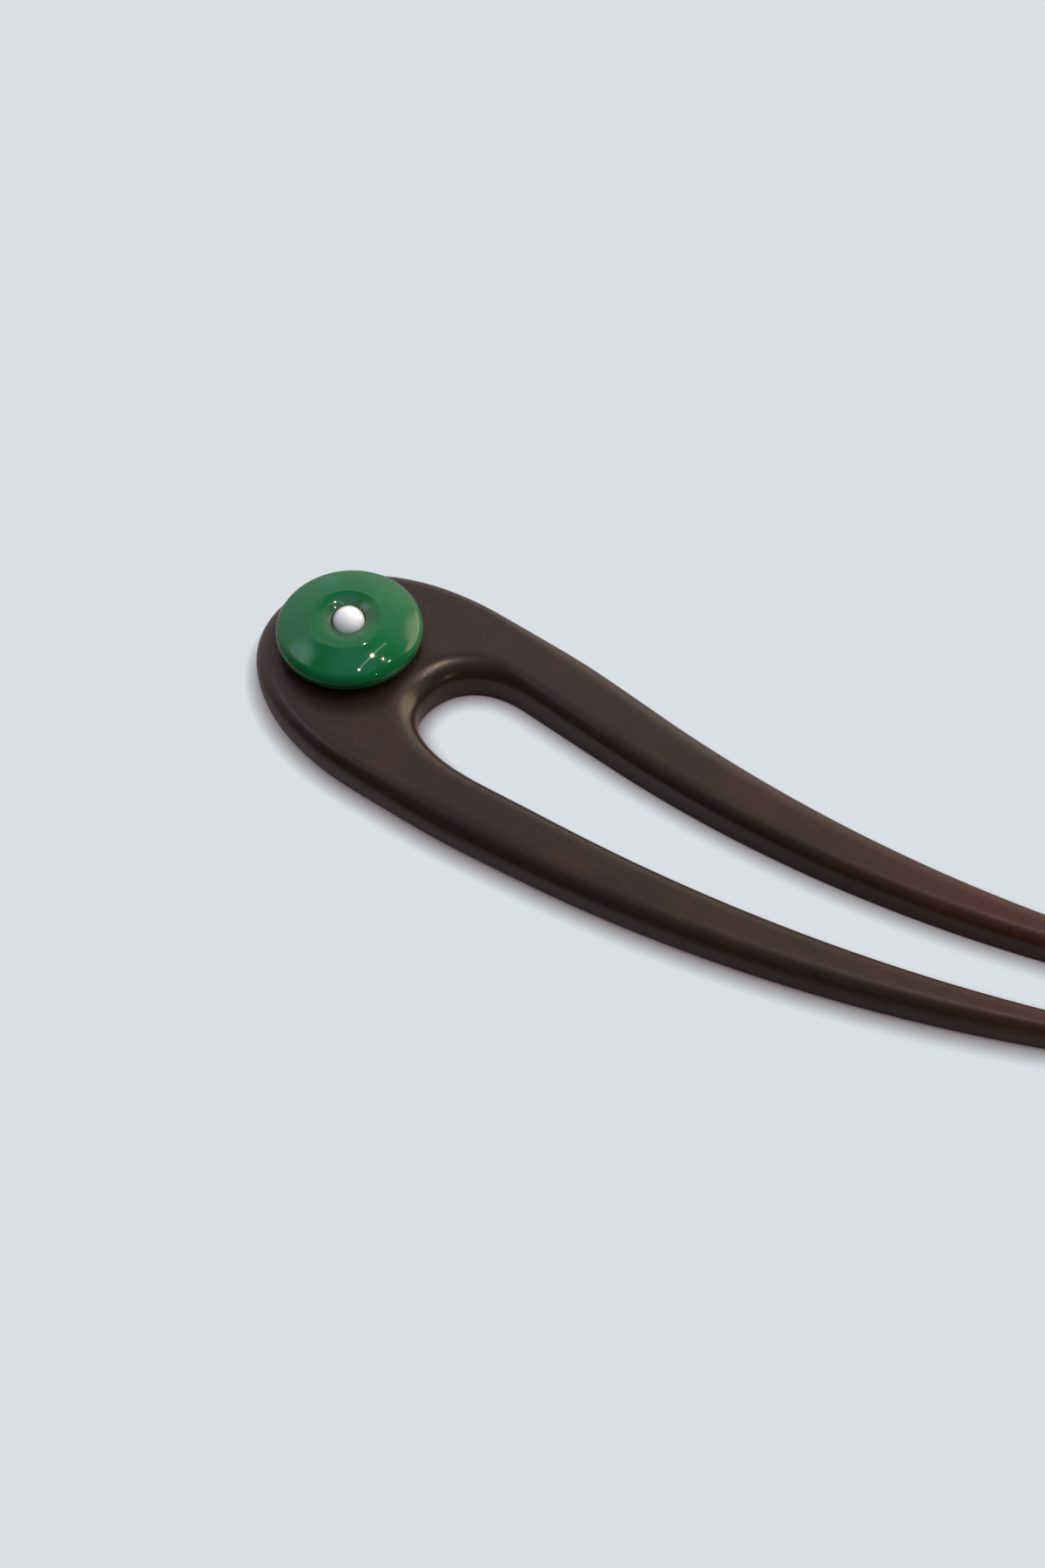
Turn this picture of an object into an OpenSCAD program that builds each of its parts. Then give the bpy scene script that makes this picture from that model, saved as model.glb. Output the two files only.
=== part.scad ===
// Two-prong hair fork of dark polished wood. Its prongs sweep to one side in the plane that it lies
// in, and a domed stone disc with a pearl in the middle is glued on the head.

/* [Fork] */
// Length along the middle, from the round end of the head to the tips
fork_l = 140; // [128:1:160]
// Width of the head
head_w = 34; // [32:0.2:38]
// Length of the head's round end
head_end_l = 26.1; // [22:0.1:32]
// Distance from the head's end to where its full width would meet the straight taper
taper_at = 39.9; // [35:0.1:46]
// Width across both tips
tips_w = 11.9; // [11:0.1:14]
// Thickness of the head
head_t = 5.8; // [5:0.1:8]
// Thickness at the tips
tip_t = 4.1; // [3:0.1:5]
// Length of each tip's round end
tip_end_l = 3; // [2:0.5:5]

/* [Slot] */
// Distance from the head's end to the slot
slot_at = 26.3; // [26:0.1:31]
// Width that the slot narrows from
slot_w = 17.3; // [14:0.1:18]
// Gap between the tips
tips_gap = 7.3; // [6:0.1:7.5]
// Share of the slot's narrowing that runs evenly to the tips
even_share = 0.49; // [0.3:0.01:0.8]
// Length of the slot's round end on the side that the prongs sweep to
slot_end_l = 10.7; // [9:0.1:18]
// Length of the slot's round end on the other side
other_end_l = 16.9; // [9:0.1:20]
// How far the slot lies off the fork's middle
slot_shift = -0.45; // [-0.6:0.05:0.6]
// How far the very end of the slot lies off the slot's middle
slot_lean = -0.85; // [-1:0.05:1]

/* [Sweep] */
// Distance from the head's end to the start of the sideways curve
bend_at = 52; // [40:1:70]
// Radius of the sideways curve
bend_r = 205; // [150:1:600]

/* [Outer edges] */
// Width of the rounding along the top of the outer edge
edge_w = 3.2; // [2:0.1:4]
// Share of the thickness that this rounding takes
edge_share = 0.47; // [0.3:0.01:0.52]
// Share of the thickness that the bottom rounding takes around the head
head_foot_share = 0.46; // [0.1:0.01:0.46]
// Share of the thickness that the bottom rounding takes along the prongs
prong_foot_share = 0.26; // [0.05:0.01:0.4]

/* [Slot edges] */
// Width of the rounding along the top of the slot's edge
slot_edge_w = 2.2; // [1:0.1:3]
// Share of the thickness that this rounding takes
slot_edge_share = 0.38; // [0.2:0.01:0.5]
// Width of the same rounding at the slot's round end
lip_w = 4.2; // [2:0.1:5]
// Share of the thickness that the rounding takes at the slot's round end
lip_share = 0.48; // [0.2:0.01:0.6]
// Share of the thickness that the bottom rounding takes along the slot
slot_foot_share = 0.1; // [0.05:0.01:0.3]

/* [Disc] */
// Diameter of the stone disc
disc_d = 20; // [18.5:0.5:21]
// Height of the disc at the flat ring around its dish
disc_t = 5.1; // [4.8:0.1:5.6]
// Radius of the disc's domed faces
face_r = 24; // [18:0.5:30]
// Radius of the disc's rounded rim
rim_r = 1.6; // [1.2:0.1:2]
// Outer diameter of the flat ring
ring_d = 10.8; // [10:0.1:12]
// Diameter of the dish inside the ring
dish_d = 8.4; // [7:0.1:9.6]
// Depth of the dish
dish_deep = 0.85; // [0.3:0.05:1]
// Distance from the head's end to the disc's centre
disc_at = 12.9; // [12.5:0.1:14.5]
// How far the disc lies off the fork's middle
disc_side = 0.1; // [-1:0.1:1]

/* [Pearl] */
// Diameter of the pearl
pearl_d = 4.5; // [3:0.1:5]
// Depth of the pearl's widest level below the bottom of the dish
pearl_low = 0.3; // [0:0.1:0.6]
// Depth of the pearl's flat foot below its widest level
pearl_sink = 1.2; // [0.8:0.1:1.4]
// Play around the pearl in its seat
seat_play = 0.1; // [0.05:0.01:0.2]
// Thickness of the glue under the disc and under the pearl
glue = 0.05; // [0.03:0.01:0.2]

/* [Hidden] */
$fn = 96;
// Softness of the corner between the head and the taper
shoulder = 0.5;
// Fullness of the round ends: 2 is an ellipse, more is squarer
head_full = 2.15;
slot_full = 2.15;
// How fast the rest of the narrowing happens at first: 1 is even, more is faster at first
gap_fall = 3;
// Distance from the head's end to where both round ends have run out
join_x = max(head_end_l, slot_at + max(slot_end_l, other_end_l));
// Distance from the head's end over which the fork keeps the head's thickness
full_t_x = slot_at;
// Distance from the head's end over which the bottom rounding changes
foot_blend_x = 65;
// Width of a bottom rounding compared with its height
foot_slant = 0.8;
// Most that one rounding takes of a prong's width
most_w = 0.45;
// Steps around a tip, along a prong and around half the head
tip_steps = 6;
prong_steps = 40;
head_steps = 26;
// Steps around each rounded edge and across the top
edge_steps = 5;
top_steps = 4;

function ease(u) = let (v = min(1, max(0, u))) v * v * (3 - 2 * v);
function blend(a, b, u) = a + (b - a) * u;

// The lesser of two lengths, blended where they are near each other
function soft_min(a, b) = pow(pow(a, -4) + pow(b, -4), -1 / 4);

// Height of a round end of unit size, at a share u of its length
function round_end(u, full) = u >= 1 ? 1 : pow(1 - pow(1 - max(0, u), full), 1 / full);

// Half the fork's width at x before the ends are rounded
function half_w(x) =
  let (taper = blend(tips_w, head_w, (fork_l - x) / (fork_l - taper_at)) / 2)
  (head_w / 2 + taper - sqrt(pow(head_w / 2 - taper, 2) + pow(shoulder, 2))) / 2;

// Half the slot's width at x before its end is rounded
function half_gap(x) =
  let (u = (fork_l - x) / (fork_l - slot_at))
  blend(tips_gap, slot_w, blend(pow(u, gap_fall), u, even_share)) / 2;

// Points of the outer edge and of the slot's edge on one side of the straight fork
function outer_edge(x, side) = [x, side * half_w(x) * round_end(x / head_end_l, head_full)];
function slot_edge(x, side) =
  let (end = round_end((x - slot_at) / (side > 0 ? slot_end_l : other_end_l), slot_full))
  [x, slot_shift + slot_lean * (1 - end) + side * half_gap(x) * end];

// Thickness at x: even over the head, then thinner in a straight line towards the tips
function thick(x) = blend(head_t, tip_t, max(0, x - full_t_x) / (fork_l - full_t_x));

// A point of the straight fork, moved to where the sideways curve takes it
function sweep(p) =
  let (
    a = max(0, p[0] - bend_at) / bend_r * 180 / PI,
    mid = [min(p[0], bend_at) + bend_r * sin(a), bend_r * (1 - cos(a))]
  )
  mid + p[1] * [-sin(a), cos(a)];

// Stations from a tip to the head's end: distance on the outer edge, distance on the slot's edge
// and the share of the full section that is left there
half_stations = concat(
  [for (i = [1:tip_steps - 1])
    let (a = 90 * i / tip_steps, x = fork_l - tip_end_l * (1 - cos(a))) [x, x, sin(a)]],
  [for (i = [0:prong_steps])
    let (x = blend(fork_l - tip_end_l, join_x, i / prong_steps)) [x, x, 1]],
  [for (i = [1:head_steps])
    let (f = 1 - sin(90 * i / head_steps)) [join_x * f, blend(slot_at, join_x, f), 1]]
);
half_count = len(half_stations);

// The same stations all the way round, from one tip to the other, with their side
stations = concat(
  [for (s = half_stations) concat(s, 1)],
  [for (i = [half_count - 2:-1:0]) concat(half_stations[i], -1)]
);

// Quarter of an ellipse from [w, 0] to [0, h] in edge_steps steps
function quarter(w, h) =
  [for (i = [0:edge_steps]) let (a = 90 * i / edge_steps) [w * (1 - sin(a)), h * (1 - cos(a))]];

function turned_back(list) = [for (i = [len(list) - 1:-1:0]) list[i]];

// Cross-section of a station as distances in from the outer edge and heights, from the outer foot
// over the top to the slot's foot. A rounding is a list of width and height.
function section(w, t, outer_foot, outer_top, slot_top, slot_foot) =
  concat(
    quarter(outer_foot[0], outer_foot[1]),
    [for (p = turned_back(quarter(outer_top[0], outer_top[1]))) [p[0], t - p[1]]],
    [for (i = [1:top_steps - 1])
      [blend(outer_top[0], w - slot_top[0], i / top_steps), t]],
    [for (p = quarter(slot_top[0], slot_top[1])) [w - p[0], t - p[1]]],
    [for (p = turned_back(quarter(slot_foot[0], slot_foot[1]))) [w - p[0], p[1]]]
  );

// Points of one station's cross-section, drawn in towards its middle where a tip is rounded
function ring(s) =
  let (
    outer = sweep(outer_edge(s[0], s[3])),
    inner = sweep(slot_edge(s[1], s[3])),
    across = inner - outer,
    w = norm(across),
    t = thick(s[1]),
    headness = 1 - ease(s[0] / foot_blend_x),
    lipness = ease(1.6 - (s[1] - slot_at) / slot_end_l),
    outer_foot_h = t * blend(prong_foot_share, head_foot_share, headness),
    slot_foot_h = t * slot_foot_share,
    outer_foot = [min(foot_slant * outer_foot_h, most_w * w), outer_foot_h],
    slot_foot = [min(foot_slant * slot_foot_h, most_w * w), slot_foot_h],
    outer_top = [soft_min(edge_w, most_w * w), t * edge_share],
    slot_top = [soft_min(blend(slot_edge_w, lip_w, lipness), most_w * w),
      t * blend(slot_edge_share, lip_share, lipness)]
  )
  [for (p = section(w, t, outer_foot, outer_top, slot_top, slot_foot))
    let (
      q = w / 2 + (p[0] - w / 2) * s[2],
      flat = outer + across / w * q
    )
    [flat[0], flat[1], t / 2 + (p[1] - t / 2) * s[2]]];

function tip_point(side) =
  let (flat = sweep((outer_edge(fork_l, side) + slot_edge(fork_l, side)) / 2))
  [flat[0], flat[1], tip_t / 2];

rings = [for (s = stations) ring(s)];
tip_points = [tip_point(1), tip_point(-1)];
fork_points = concat([for (r = rings) each r], tip_points);

// Middle of the fork's outline, which is brought over the origin
xs = [for (p = fork_points) p[0]];
ys = [for (p = fork_points) p[1]];
outline_middle = [(min(xs) + max(xs)) / 2, (min(ys) + max(ys)) / 2];
module centred() translate(-outline_middle) children();

// Quads of the skin between neighbouring stations, and a fan of triangles over each tip
module fork() {
  count = len(rings);
  size = len(rings[0]);
  last = (count - 1) * size;
  first_tip = count * size;
  skin = [for (i = [0:count - 2], j = [0:size - 1])
    let (k = (j + 1) % size)
    each [
      [i * size + j, (i + 1) * size + j, i * size + k],
      [i * size + k, (i + 1) * size + j, (i + 1) * size + k]
    ]];
  tips = [for (j = [0:size - 1])
    let (k = (j + 1) % size)
    each [[first_tip, j, k], [first_tip + 1, last + k, last + j]]];
  color([0.20, 0.15, 0.14]) centred() polyhedron(fork_points, concat(skin, tips));
}

// Heights over the disc's foot, on its axis: the centres of the two face circles and the middle
// of the rim, where the faces run smoothly into the rounded rim
top_centre_z = disc_t - sqrt(pow(face_r, 2) - pow(ring_d / 2, 2));
rim_centre_x = disc_d / 2 - rim_r;
rim_z = top_centre_z + sqrt(pow(face_r - rim_r, 2) - pow(rim_centre_x, 2));
under_centre_z = 2 * rim_z - top_centre_z;
face_edge_x = rim_centre_x * face_r / (face_r - rim_r);

// Half of the disc's section: a lens with a rounded rim, cut flat at the ring and where it is glued
module lens_half() {
  intersection() {
    union() {
      intersection() {
        translate([0, top_centre_z]) circle(face_r);
        translate([0, under_centre_z]) circle(face_r);
        square([face_edge_x, disc_d]);
      }
      translate([rim_centre_x, rim_z]) circle(rim_r);
    }
    square([disc_d, disc_t]);
  }
}

// The disc's dish, and the heights over the disc's foot of the pearl's widest level and flat foot
dish_r = (pow(dish_d / 2, 2) + pow(dish_deep, 2)) / (2 * dish_deep);
pearl_z = disc_t - dish_deep - pearl_low;
foot_z = pearl_z - pearl_sink;

module place_on_head() centred() translate([disc_at, disc_side, head_t + glue]) children();

module disc() {
  color([0.13, 0.40, 0.24]) place_on_head() difference() {
    rotate_extrude() difference() {
      lens_half();
      translate([0, disc_t - dish_deep + dish_r]) circle(dish_r, $fn = 720);
    }
    translate([0, 0, foot_z - glue]) cylinder(d = pearl_d + 2 * seat_play, h = disc_t);
  }
}

// The pearl is ground flat below, where it is glued into its seat
module pearl() {
  color([0.92, 0.90, 0.90]) place_on_head() translate([0, 0, pearl_z]) difference() {
    sphere(d = pearl_d);
    translate([-pearl_d, -pearl_d, -2 * pearl_d - pearl_sink]) cube(2 * pearl_d);
  }
}

fork();
disc();
pearl();
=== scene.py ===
"""Two-prong hair fork of oiled blackwood, with a domed green stone disc and a pearl on its head.

Laid out as a Blender add-on and run as a script. Lengths are in metres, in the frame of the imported
solids: the fork lies flat on z = 0, its head points along -X and the prongs sweep towards +Y.
"""

import math
from collections import namedtuple

import bpy
import numpy as np
from bpy.props import FloatProperty, FloatVectorProperty, PointerProperty
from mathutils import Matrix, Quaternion, Vector


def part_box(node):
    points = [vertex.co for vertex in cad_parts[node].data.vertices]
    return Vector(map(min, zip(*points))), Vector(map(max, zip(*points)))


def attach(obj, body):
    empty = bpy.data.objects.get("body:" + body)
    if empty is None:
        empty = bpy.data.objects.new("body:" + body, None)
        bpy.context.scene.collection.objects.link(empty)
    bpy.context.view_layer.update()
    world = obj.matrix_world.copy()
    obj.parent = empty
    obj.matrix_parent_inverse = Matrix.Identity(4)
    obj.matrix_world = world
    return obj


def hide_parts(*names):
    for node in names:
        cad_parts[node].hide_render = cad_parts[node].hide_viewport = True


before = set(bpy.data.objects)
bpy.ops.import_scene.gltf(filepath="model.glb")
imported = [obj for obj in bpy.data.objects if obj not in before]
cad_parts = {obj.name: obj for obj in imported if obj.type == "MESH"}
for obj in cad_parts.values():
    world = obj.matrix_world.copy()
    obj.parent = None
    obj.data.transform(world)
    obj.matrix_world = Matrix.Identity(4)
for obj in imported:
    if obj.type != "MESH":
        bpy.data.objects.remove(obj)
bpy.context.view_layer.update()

bl_info = {
    "name": "Hair fork",
    "version": (1, 0, 0),
    "blender": (4, 5, 0),
    "location": "3D View > Sidebar > Hair fork",
    "description": "Builds a wooden hair fork with a stone disc and a pearl, and a studio for it",
    "category": "Object",
}

# Steps of the fork's skin around a tip, along a prong, around half the head, around each rounded
# edge, up each side wall, across the top and across the underside
TIP_STEPS = 14
PRONG_STEPS = 200
HEAD_STEPS = 90
EDGE_STEPS = 10
WALL_STEPS = 3
TOP_STEPS = 12
UNDER_STEPS = 6

# Steps around the disc and around the pearl
DISC_TURN_STEPS = 256
PEARL_TURN_STEPS = 128

# Rows of points on the disc's underside, round its rim, over its dome, across the cone's edge and
# down to the seat, and up the pearl, with both ends counted
DISC_UNDER_ROWS = 24
DISC_RIM_ROWS = 34
DISC_DOME_ROWS = 26
CONE_EDGE_ROWS = 13
CONE_ROWS = 18
PEARL_ROWS = 66

# The sky's direction away from the camera and its direction to the camera's right, on the floor
FAR = Vector((-0.58, 0.8146, 0))
RIGHT = Vector((0.8146, 0.58, 0))

# A studio light: degrees to the right of the direction away from the camera, degrees above the
# floor, width and height in degrees as the object sees them, degrees that it is turned, colour,
# brightness, and whether it is round and whether a polished surface mirrors it
Light = namedtuple(
    "Light", "name azimuth elevation width height turn colour radiance is_round is_mirrored"
)
LIGHTS = (
    Light("bulb_near", 67.8, 71.3, 0.5, 0.5, 0, "#FFE9D4", 1590, True, True),
    Light("bulb_far", 74.4, 67.3, 0.5, 0.5, 0, "#FFE9D4", 1590, True, True),
    Light("bulb_middle", 51, 76.5, 1.2, 1.2, 0, "#FFE4C8", 760, True, True),
    Light("bulb_high", 128, 86.4, 1.2, 1.0, 0, "#FFE4C8", 80, True, True),
    Light("bulb_low", 142, 32, 2, 2, 0, "#FFEBDA", 65, True, True),
    Light("long_tube", 50.3, 76.4, 0.6, 26, 15, "#FFF6E8", 5, False, True),
    Light("overhead_silk", 80, 68, 74, 74, 0, "#F0F3FA", 1.5, False, False),
)
LIGHT_DISTANCE = 6

# A soft glow of the room: degrees to the right of the direction away from the camera, degrees above
# the floor, degrees off its middle up to which it is full and from which it is gone, and its
# brightness in red, green and blue
Glow = namedtuple("Glow", "name azimuth elevation full gone brightness")
GLOWS = (
    Glow("window", -71, 52, 0, 14, (1.2, 1.4, 1.8)),
    Glow("lit_wall", 30, 12, 0, 32, (1.0, 0.95, 0.85)),
    Glow("warm_silk", 59, 27, 19, 27, (2.8, 2.5, 1.8)),
)


def linear(code, alpha=1.0):
    """Linear colour of an sRGB hex value such as #2A1E1B."""
    shares = np.array([int(code[i : i + 2], 16) for i in (1, 3, 5)]) / 255
    bent = np.where(shares <= 0.04045, shares / 12.92, ((shares + 0.055) / 1.055) ** 2.4)
    return (*bent.tolist(), alpha)


def length(name, description, default):
    """A length property in metres."""
    return FloatProperty(
        name=name, description=description, default=default, precision=5, unit="LENGTH"
    )


def share(name, description, default):
    """A property between nothing and all."""
    return FloatProperty(
        name=name, description=description, default=default, min=0, max=1, subtype="FACTOR"
    )


def colour(name, description, code):
    """A colour property from an sRGB hex value."""
    return FloatVectorProperty(
        name=name,
        description=description,
        default=linear(code),
        size=4,
        min=0,
        max=1,
        subtype="COLOR",
    )


class ForkSizes(bpy.types.PropertyGroup):
    """Sizes of the wooden fork."""

    fork_l: length("Length", "Length along the middle", 0.14)
    head_w: length("Head width", "Width of the head", 0.034)
    head_end_l: length("Head end", "Length of the head's round end", 0.0261)
    taper_at: length("Taper start", "Where the head's width meets the straight taper", 0.0399)
    tips_w: length("Tips width", "Width across both tips", 0.0119)
    head_t: length("Head thickness", "Thickness of the head", 0.0058)
    tip_t: length("Tip thickness", "Thickness at the tips", 0.0041)
    tip_end_l: length("Tip end", "Length of each tip's round end", 0.003)
    slot_at: length("Slot start", "Distance from the head's end to the slot", 0.0263)
    slot_w: length("Slot width", "Width that the slot narrows from", 0.0173)
    tips_gap: length("Tips gap", "Gap between the tips", 0.0073)
    even_share: share("Even narrowing", "Share of the slot's narrowing that runs evenly", 0.49)
    slot_end_l: length("Slot end", "Length of the slot's round end on the +Y side", 0.0107)
    other_end_l: length("Other slot end", "Length of the same on the -Y side", 0.0169)
    slot_shift: length("Slot shift", "How far the slot lies off the middle", -0.00045)
    slot_lean: length("Slot lean", "How far its very end lies off its middle", -0.00085)
    bend_at: length("Sweep start", "Distance from the head's end to the sideways curve", 0.052)
    bend_r: length("Sweep radius", "Radius of the sideways curve", 0.205)
    edge_w: length("Edge width", "Width of the rounding along the outer edge", 0.0032)
    slot_edge_w: length("Slot edge width", "Width of the rounding along the slot", 0.0022)
    lip_w: length("Lip width", "Width of the rounding at the slot's round end", 0.0042)
    edge_share: share("Edge height", "Share of the thickness in the outer rounding", 0.47)
    head_foot_share: share("Head foot", "Share in the bottom rounding of the head", 0.46)
    prong_foot_share: share("Prong foot", "Share in the bottom rounding of the prongs", 0.26)
    slot_edge_share: share("Slot edge height", "Share in the rounding along the slot", 0.38)
    lip_share: share("Lip height", "Share in the rounding at the slot's round end", 0.48)
    slot_foot_share: share("Slot foot", "Share in the slot's bottom rounding", 0.1)


class DiscSizes(bpy.types.PropertyGroup):
    """Sizes of the stone disc."""

    disc_d: length("Diameter", "Diameter of the disc", 0.02)
    disc_t: length("Height", "Height of the dome at its level circle", 0.0051)
    face_r: length("Face radius", "Radius of the domed faces", 0.024)
    rim_r: length("Rim radius", "Radius of the rounded rim", 0.0016)
    ring_d: length("Level circle", "Diameter where the dome has the disc's height", 0.0108)
    cone_d: length("Cone diameter", "Diameter of the shallow cone ground into the dome", 0.0099)
    cone_off: length("Cone offset", "How far off the middle the cone is ground", -0.0006)
    cone_fall: share("Cone slope", "How steeply the cone falls", 0.22)
    hollow_d: length("Hollow diameter", "Diameter of the hollow around the pearl", 0.0092)
    hollow_deep: length("Hollow depth", "Depth of the hollow below the cone", 0.00084)
    crease: length("Crease softness", "How far the cone's edge is polished round", 0.00004)
    bead_h: length("Bead height", "Height of the fine raised line on the cone's edge", 0.00002)


class PearlSizes(bpy.types.PropertyGroup):
    """Sizes of the pearl and its seat."""

    pearl_d: length("Diameter", "Diameter of the pearl", 0.0045)
    pearl_low: length("Lowering", "Widest level below the disc's height", 0.00115)
    pearl_sink: length("Foot depth", "Flat foot below the widest level", 0.0012)
    seat_play: length("Play", "Play around the pearl in its seat", 0.0001)
    glue: length("Glue", "Thickness of the glue under the pearl", 0.00005)
    uneven: share("Unevenness", "Share of the radius by which the pearl is out of round", 0.022)


class Finishes(bpy.types.PropertyGroup):
    """Colours of the wood, stone, pearl and floor."""

    wood: colour("Wood", "Heartwood between the streaks", "#2A1F1B")
    streak: colour("Streak", "Darker streaks of the heartwood", "#231A17")
    flame: colour("Warm wood", "Redder wood in patches and towards the tips", "#481F18")
    pore: colour("Pore", "Open pores of the wood", "#1C1412")
    stone: colour("Stone", "Body of the green stone", "#035F2F")
    cloud: colour("Clouds", "Paler clouds in the stone", "#127C46")
    haze: colour("Haze", "Greyer stone around the pearl", "#40553F")
    # Painted rim shade, mixed into the pearl where it is seen edge-on
    painted_rim_shade: colour("Pearl's rim", "Nacre seen along its surface", "#C4BDAE")
    pearl: colour("Pearl", "Nacre seen from the front", "#F6FAFC")
    blush: colour("Blush", "Lilac cast of the nacre", "#EAE8F8")
    floor: colour("Floor", "Pale floor", "#DADFE3")


class HairForkSettings(bpy.types.PropertyGroup):
    """Everything that can be changed about the hair fork."""

    fork: PointerProperty(type=ForkSizes)
    disc: PointerProperty(type=DiscSizes)
    pearl: PointerProperty(type=PearlSizes)
    finish: PointerProperty(type=Finishes)


def blend(start, end, part):
    """The value that lies a given part of the way from start to end."""
    return start + (end - start) * part


def ease(part):
    """Smooth step: 0 up to 0, 1 from 1 on, and 3u^2 - 2u^3 between."""
    held = np.clip(part, 0, 1)
    return held * held * (3 - 2 * held)


def soft_min(a, b):
    """The lesser of two lengths, blended where they are near each other: (a^-4 + b^-4)^(-1/4)."""
    return (a**-4.0 + b**-4.0) ** -0.25


def round_end(part, full):
    """Height of a round end of unit size: (1 - (1 - u)^n)^(1/n), an ellipse where n is 2."""
    rest = 1 - np.clip(part, 0, 1)
    return (1 - rest**full) ** (1 / full)


def quarter(width, height, steps):
    """Quarter of an ellipse from (width, 0) to (0, height), for arrays of widths and heights.

    Returns two arrays with one row for each width and one column for each step.
    """
    turn = np.linspace(0, math.pi / 2, steps + 1)
    return np.outer(width, 1 - np.sin(turn)), np.outer(height, 1 - np.cos(turn))


def skin(name, rows, poles):
    """Closed mesh over rows of points that each close on themselves, with a pole at either end.

    rows is an array of rows x columns x 3. Every quad joins two neighbouring rows and columns, and
    a fan of triangles joins the first and the last row to its pole.
    """
    count, size = rows.shape[:2]
    points = np.concatenate((rows.reshape(-1, 3), poles))
    place = np.arange(count * size).reshape(count, size)
    turned = np.roll(place, -1, axis=1)
    quads = np.stack((place[:-1], turned[:-1], turned[1:], place[1:]), axis=-1).reshape(-1, 4)
    first = np.stack((np.full(size, count * size), turned[0], place[0]), axis=-1)
    last = np.stack((np.full(size, count * size + 1), place[-1], turned[-1]), axis=-1)
    corners = np.concatenate((quads.ravel(), first.ravel(), last.ravel())).astype(np.int32)
    totals = np.concatenate((np.full(len(quads), 4), np.full(2 * size, 3))).astype(np.int32)
    mesh = bpy.data.meshes.new(name)
    mesh.vertices.add(len(points))
    mesh.vertices.foreach_set("co", points.astype(np.float32).ravel())
    mesh.loops.add(len(corners))
    mesh.loops.foreach_set("vertex_index", corners)
    mesh.polygons.add(len(totals))
    mesh.polygons.foreach_set("loop_start", (np.cumsum(totals) - totals).astype(np.int32))
    mesh.polygons.foreach_set("loop_total", totals)
    mesh.polygons.foreach_set("use_smooth", np.ones(len(totals), dtype=bool))
    mesh.update(calc_edges=True)
    mesh.validate()
    piece = bpy.data.objects.new(name, mesh)
    bpy.context.scene.collection.objects.link(piece)
    return piece


def dress(piece, material, node):
    """Gives a piece its material, and lets it ride on the root body in a CAD node's place."""
    piece.data.materials.append(material)
    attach(piece, "root")
    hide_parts(node)


# Wooden fork


def fork_stations(s):
    """Stations from one tip round the head to the other tip, as four arrays.

    They are the distance on the outer edge, the distance on the slot's edge, the share of the full
    section that is left there, and the side. A tip is a quarter turn of an ellipse, a prong has
    even steps, and the head's steps crowd towards its round end as 1 - sin does.
    """
    join_x = max(s.head_end_l, s.slot_at + max(s.slot_end_l, s.other_end_l))
    turn = np.arange(1, TIP_STEPS) / TIP_STEPS * math.pi / 2
    tip_x = s.fork_l - s.tip_end_l * (1 - np.cos(turn))
    prong_x = np.linspace(s.fork_l - s.tip_end_l, join_x, PRONG_STEPS + 1)
    head_part = 1 - np.sin(np.arange(1, HEAD_STEPS + 1) / HEAD_STEPS * math.pi / 2)
    outer_x = np.concatenate((tip_x, prong_x, join_x * head_part))
    slot_x = np.concatenate((tip_x, prong_x, blend(s.slot_at, join_x, head_part)))
    left = np.concatenate((np.sin(turn), np.ones(len(outer_x) - len(turn))))
    sides = np.concatenate((np.ones(len(outer_x)), -np.ones(len(outer_x) - 1)))
    both = [np.concatenate((half, half[-2::-1])) for half in (outer_x, slot_x, left)]
    return (*both, sides)


def outer_edge(s, x, side):
    """Outer edge of the straight fork: the softened lesser of the head's width and the taper."""
    shoulder = 0.0005
    fullness = 2.15
    half = s.head_w / 2
    taper = blend(s.tips_w, s.head_w, (s.fork_l - x) / (s.fork_l - s.taper_at)) / 2
    wide = (half + taper - np.sqrt((half - taper) ** 2 + shoulder**2)) / 2
    return np.stack((x, side * wide * round_end(x / s.head_end_l, fullness)), axis=-1)


def slot_edge(s, x, side):
    """Slot's edge of the straight fork, leaning to one side at its very end.

    Over the share u of the slot's length that is still ahead, its width falls as e u + (1 - e) u^3,
    where e is the share that runs evenly.
    """
    fullness = 2.15
    ahead = (s.fork_l - x) / (s.fork_l - s.slot_at)
    wide = blend(s.tips_gap, s.slot_w, blend(ahead**3, ahead, s.even_share)) / 2
    end = round_end((x - s.slot_at) / np.where(side > 0, s.slot_end_l, s.other_end_l), fullness)
    return np.stack((x, s.slot_shift + s.slot_lean * (1 - end) + side * wide * end), axis=-1)


def sweep(s, p):
    """Points of the straight fork after bend_at, carried round an arc of radius bend_r."""
    turn = np.maximum(0, p[:, 0] - s.bend_at) / s.bend_r
    mid_x = np.minimum(p[:, 0], s.bend_at) + s.bend_r * np.sin(turn)
    mid_y = s.bend_r * (1 - np.cos(turn))
    return np.stack((mid_x - p[:, 1] * np.sin(turn), mid_y + p[:, 1] * np.cos(turn)), axis=-1)


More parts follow.
